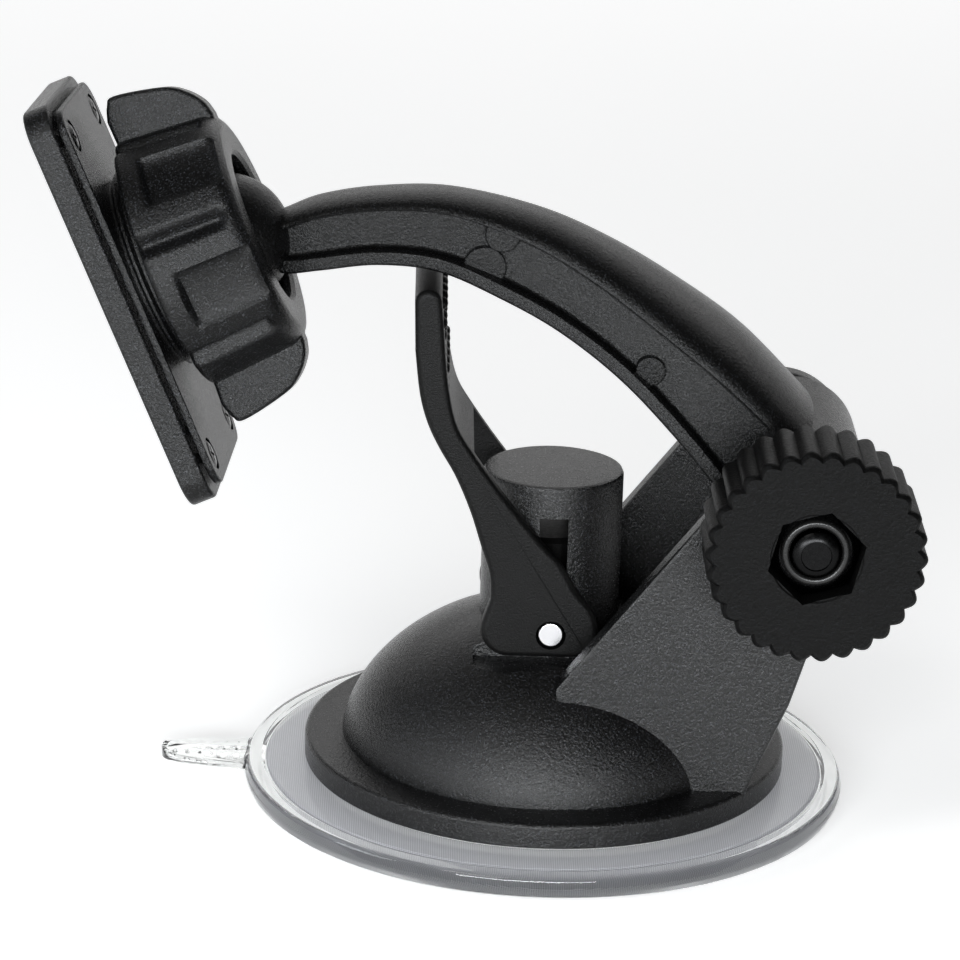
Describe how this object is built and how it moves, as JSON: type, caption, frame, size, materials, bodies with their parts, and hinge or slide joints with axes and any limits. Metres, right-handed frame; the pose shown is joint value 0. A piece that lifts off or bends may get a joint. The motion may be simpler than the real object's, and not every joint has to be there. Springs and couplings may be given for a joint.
{
  "type": "dash camera windscreen mount",
  "caption": "Suction-cup windscreen mount for a dash camera: lever-locked cup, clevis-hung curved arm with a clamp knob, and a ball-jointed rectangular plate with a winged collar nut.",
  "frame": {"origin": "centre of the suction cup's flat sealing face", "axes": "+Z out of the glass along the cup's axis; the arm reaches towards -X; the clamp knob is on the -Y side"},
  "size_m": [0.1112, 0.078, 0.0908],
  "materials": {
    "clear_pvc": "clear soft PVC, glossy, fine woven texture on the outer ring",
    "textured_abs": "black ABS, spark-eroded texture",
    "arm_abs": "black ABS, fine matte with a coarser sparkle in the recess",
    "lever_abs": "black ABS, fine matte",
    "knob_abs": "black ABS, coarse texture",
    "head_abs": "black ABS, fine matte with textured pads",
    "stem_nylon": "black nylon, smooth",
    "bright_steel": "polished steel",
    "dark_steel": "black-zinc steel, satin",
    "washer_nylon": "dark nylon, smooth",
    "seat_rubber": "black rubber"
  },
  "bodies": {
    "base": {"base_housing": "textured_abs", "suction_cup": "clear_pvc", "pivot_bolt": "dark_steel", "near_washer": "washer_nylon", "far_washer": "washer_nylon"},
    "stem": {"suction_stem": "stem_nylon", "lever_pin": "bright_steel", "return_spring": "bright_steel"},
    "lever": {"lock_lever": "lever_abs"},
    "arm": {"swing_arm": "arm_abs"},
    "knob_thrust": {"knob_washer": "bright_steel"},
    "knob": {"clamp_knob": "knob_abs", "lock_nut": "dark_steel", "nut_insert": "washer_nylon"},
    "ball_seat": {"ball_seat_pad": "seat_rubber"},
    "ball_clamp": {"split_clamp_ring": "stem_nylon"},
    "head": {"head_socket": "head_abs", "camera_plate": "head_abs", "plate_screw_1": "dark_steel", "plate_screw_2": "dark_steel", "plate_screw_3": "dark_steel", "plate_screw_4": "dark_steel"},
    "collar": {"collar_nut": "head_abs"}
  },
  "joints": [
    {"name": "stem_lift", "type": "slide", "parent": "base", "child": "stem", "axis": [0, 0, 1], "range_m": [0, 0.00157], "deforming": ["return_spring"]},
    {"name": "lever_fold", "type": "hinge", "parent": "stem", "child": "lever", "pos_m": [0, 0, 0.024], "axis": [0, -1, 0], "range_deg": [0, 17]},
    {"name": "arm_pivot", "type": "hinge", "parent": "base", "child": "arm", "pos_m": [0.031, 0, 0.0427], "axis": [0, 1, 0], "range_deg": [0, 110]},
    {"name": "knob_feed", "type": "slide", "parent": "base", "child": "knob_thrust", "axis": [0, -1, 0], "range_m": [0, 0.001]},
    {"name": "knob_turn", "type": "hinge", "parent": "knob_thrust", "child": "knob", "pos_m": [0.031, 0, 0.0427], "axis": [0, -1, 0], "range_deg": [0, 360]},
    {"name": "head_pitch", "type": "hinge", "parent": "arm", "child": "ball_seat", "pos_m": [-0.0423, 0, 0.0716], "axis": [0, 1, 0], "range_deg": [-10, 44]},
    {"name": "head_yaw", "type": "hinge", "parent": "ball_seat", "child": "ball_clamp", "pos_m": [-0.0423, 0, 0.0716], "axis": [-0.4067, 0, 0.9135], "range_deg": [-13, 13]},
    {"name": "head_roll", "type": "hinge", "parent": "ball_clamp", "child": "head", "pos_m": [-0.0423, 0, 0.0716], "axis": [-0.9135, 0, -0.4067], "range_deg": [-90, 90]},
    {"name": "collar_turn", "type": "hinge", "parent": "head", "child": "collar", "pos_m": [-0.0423, 0, 0.0716], "axis": [-0.9135, 0, -0.4067], "range_deg": [0, 180]}
  ],
  "couplings": [
    {"joint": "lever_fold", "follows": "stem_lift", "rad_per_m": 188.6},
    {"joint": "knob_turn", "follows": "knob_feed", "rad_per_m": 6283}
  ]
}
